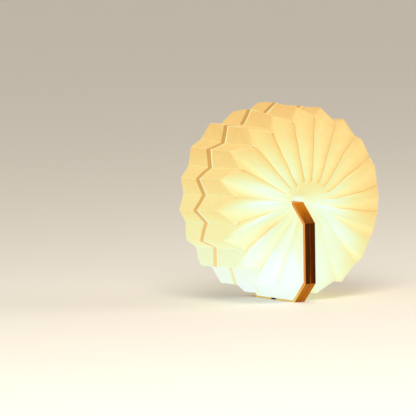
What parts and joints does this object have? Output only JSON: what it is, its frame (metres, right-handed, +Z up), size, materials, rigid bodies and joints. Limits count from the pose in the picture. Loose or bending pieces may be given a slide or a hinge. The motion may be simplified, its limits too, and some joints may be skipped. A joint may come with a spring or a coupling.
{
  "type": "pleated paper table lamp",
  "caption": "Folding table lamp: a pleated paper drum lit from inside, fanned right round between two octagonal wooden covers that stand back to back as its foot.",
  "frame": {"origin": "middle of the foot, where the two covers' fore edges meet the surface", "axes": "+Z up, +Y along the drum's axis towards the back, +X to the right as seen from the front"},
  "size_m": [0.3268, 0.18, 0.3315],
  "materials": {
    "wood": "oiled walnut, fine straight grain, crisp edges",
    "paper": "matte white synthetic paper, fibrous, lit from inside",
    "diffuser": "milky opal sheet, satin",
    "light_board": "white solder mask",
    "light_chips": "warm phosphor in a white frame",
    "steel": "plain steel",
    "magnet": "nickel plated",
    "battery": "silver laminated pouch",
    "foam": "adhesive foam pad",
    "lead_jacket": "white insulation",
    "control_board": "green solder mask",
    "chip_black": "black moulded packages",
    "lid_plastic": "black sheet, fine texture"
  },
  "bodies": {
    "left_cover": {"left_cover": "wood", "left_end_paper": "paper", "left_diffuser": "diffuser", "left_light_board": "light_board", "left_light_chips": "light_chips", "left_board_screws": "steel", "left_magnets": "magnet", "battery": "battery", "battery_pad": "foam", "battery_leads": "lead_jacket", "control_board": "control_board", "board_chips": "chip_black", "magnet_sensor": "chip_black", "charging_socket": "steel", "electronics_lid": "lid_plastic"},
    "pleat_01": {"pleat_01": "paper"},
    "pleat_02": {"pleat_02": "paper"},
    "pleat_03": {"pleat_03": "paper"},
    "pleat_04": {"pleat_04": "paper"},
    "pleat_05": {"pleat_05": "paper"},
    "pleat_06": {"pleat_06": "paper"},
    "pleat_07": {"pleat_07": "paper"},
    "pleat_08": {"pleat_08": "paper"},
    "pleat_09": {"pleat_09": "paper"},
    "pleat_10": {"pleat_10": "paper", "link_lead": "lead_jacket"},
    "pleat_11": {"pleat_11": "paper"},
    "pleat_12": {"pleat_12": "paper"},
    "pleat_13": {"pleat_13": "paper"},
    "pleat_14": {"pleat_14": "paper"},
    "pleat_15": {"pleat_15": "paper"},
    "pleat_16": {"pleat_16": "paper"},
    "pleat_17": {"pleat_17": "paper"},
    "pleat_18": {"pleat_18": "paper"},
    "pleat_19": {"pleat_19": "paper"},
    "right_cover": {"right_cover": "wood", "right_end_paper": "paper", "right_diffuser": "diffuser", "right_light_board": "light_board", "right_light_chips": "light_chips", "right_board_screws": "steel", "right_magnets": "magnet"}
  },
  "joints": [
    {"name": "fold_01", "type": "hinge", "parent": "left_cover", "child": "pleat_01", "pos_m": [-0.00543, 0, 0.16512], "axis": [0, -1, 0], "range_deg": [0, 9.47], "deforming": ["pleat_01"]},
    {"name": "fold_02", "type": "hinge", "parent": "pleat_01", "child": "pleat_02", "pos_m": [-0.00674, 0, 0.16125], "axis": [0, -1, 0], "range_deg": [0, 18.95], "deforming": ["pleat_02"]},
    {"name": "fold_03", "type": "hinge", "parent": "pleat_02", "child": "pleat_03", "pos_m": [-0.00768, 0, 0.16288], "axis": [0, -1, 0], "range_deg": [0, 18.95], "deforming": ["pleat_03"]},
    {"name": "fold_04", "type": "hinge", "parent": "pleat_03", "child": "pleat_04", "pos_m": [-0.0082, 0, 0.1648], "axis": [0, -1, 0], "range_deg": [0, 18.95], "deforming": ["pleat_04"]},
    {"name": "fold_05", "type": "hinge", "parent": "pleat_04", "child": "pleat_05", "pos_m": [-0.00823, 0, 0.16687], "axis": [0, -1, 0], "range_deg": [0, 18.95], "deforming": ["pleat_05"]},
    {"name": "fold_06", "type": "hinge", "parent": "pleat_05", "child": "pleat_06", "pos_m": [-0.00772, 0, 0.16894], "axis": [0, -1, 0], "range_deg": [0, 18.95], "deforming": ["pleat_06"]},
    {"name": "fold_07", "type": "hinge", "parent": "pleat_06", "child": "pleat_07", "pos_m": [-0.00668, 0, 0.17085], "axis": [0, -1, 0], "range_deg": [0, 18.95], "deforming": ["pleat_07"]},
    {"name": "fold_08", "type": "hinge", "parent": "pleat_07", "child": "pleat_08", "pos_m": [-0.00516, 0, 0.17245], "axis": [0, -1, 0], "range_deg": [0, 18.95], "deforming": ["pleat_08"]},
    {"name": "fold_09", "type": "hinge", "parent": "pleat_08", "child": "pleat_09", "pos_m": [-0.00326, 0, 0.17359], "axis": [0, -1, 0], "range_deg": [0, 18.95], "deforming": ["pleat_09"]},
    {"name": "fold_10", "type": "hinge", "parent": "pleat_09", "child": "pleat_10", "pos_m": [-0.00111, 0, 0.17419], "axis": [0, -1, 0], "range_deg": [0, 18.95], "deforming": ["pleat_10", "link_lead"]},
    {"name": "fold_11", "type": "hinge", "parent": "pleat_10", "child": "pleat_11", "pos_m": [0.00111, 0, 0.17419], "axis": [0, -1, 0], "range_deg": [0, 18.95], "deforming": ["pleat_11"]},
    {"name": "fold_12", "type": "hinge", "parent": "pleat_11", "child": "pleat_12", "pos_m": [0.00326, 0, 0.17359], "axis": [0, -1, 0], "range_deg": [0, 18.95], "deforming": ["pleat_12"]},
    {"name": "fold_13", "type": "hinge", "parent": "pleat_12", "child": "pleat_13", "pos_m": [0.00516, 0, 0.17245], "axis": [0, -1, 0], "range_deg": [0, 18.95], "deforming": ["pleat_13"]},
    {"name": "fold_14", "type": "hinge", "parent": "pleat_13", "child": "pleat_14", "pos_m": [0.00668, 0, 0.17085], "axis": [0, -1, 0], "range_deg": [0, 18.95], "deforming": ["pleat_14"]},
    {"name": "fold_15", "type": "hinge", "parent": "pleat_14", "child": "pleat_15", "pos_m": [0.00772, 0, 0.16894], "axis": [0, -1, 0], "range_deg": [0, 18.95], "deforming": ["pleat_15"]},
    {"name": "fold_16", "type": "hinge", "parent": "pleat_15", "child": "pleat_16", "pos_m": [0.00823, 0, 0.16687], "axis": [0, -1, 0], "range_deg": [0, 18.95], "deforming": ["pleat_16"]},
    {"name": "fold_17", "type": "hinge", "parent": "pleat_16", "child": "pleat_17", "pos_m": [0.0082, 0, 0.1648], "axis": [0, -1, 0], "range_deg": [0, 18.95], "deforming": ["pleat_17"]},
    {"name": "fold_18", "type": "hinge", "parent": "pleat_17", "child": "pleat_18", "pos_m": [0.00768, 0, 0.16288], "axis": [0, -1, 0], "range_deg": [0, 18.95], "deforming": ["pleat_18"]},
    {"name": "fold_19", "type": "hinge", "parent": "pleat_18", "child": "pleat_19", "pos_m": [0.00674, 0, 0.16125], "axis": [0, -1, 0], "range_deg": [0, 18.95], "deforming": ["pleat_19"]},
    {"name": "right_cover_fold", "type": "hinge", "parent": "pleat_19", "child": "right_cover", "pos_m": [0.00543, 0, 0.16512], "axis": [0, -1, 0], "range_deg": [0, 9.48]}
  ],
  "couplings": [
    {"joint": "fold_02", "follows": "fold_01", "ratio": 2},
    {"joint": "fold_03", "follows": "fold_01", "ratio": 2},
    {"joint": "fold_04", "follows": "fold_01", "ratio": 2},
    {"joint": "fold_05", "follows": "fold_01", "ratio": 2},
    {"joint": "fold_06", "follows": "fold_01", "ratio": 2},
    {"joint": "fold_07", "follows": "fold_01", "ratio": 2},
    {"joint": "fold_08", "follows": "fold_01", "ratio": 2},
    {"joint": "fold_09", "follows": "fold_01", "ratio": 2},
    {"joint": "fold_10", "follows": "fold_01", "ratio": 2},
    {"joint": "fold_11", "follows": "fold_01", "ratio": 2},
    {"joint": "fold_12", "follows": "fold_01", "ratio": 2},
    {"joint": "fold_13", "follows": "fold_01", "ratio": 2},
    {"joint": "fold_14", "follows": "fold_01", "ratio": 2},
    {"joint": "fold_15", "follows": "fold_01", "ratio": 2},
    {"joint": "fold_16", "follows": "fold_01", "ratio": 2},
    {"joint": "fold_17", "follows": "fold_01", "ratio": 2},
    {"joint": "fold_18", "follows": "fold_01", "ratio": 2},
    {"joint": "fold_19", "follows": "fold_01", "ratio": 2},
    {"joint": "right_cover_fold", "follows": "fold_01", "ratio": 1}
  ]
}
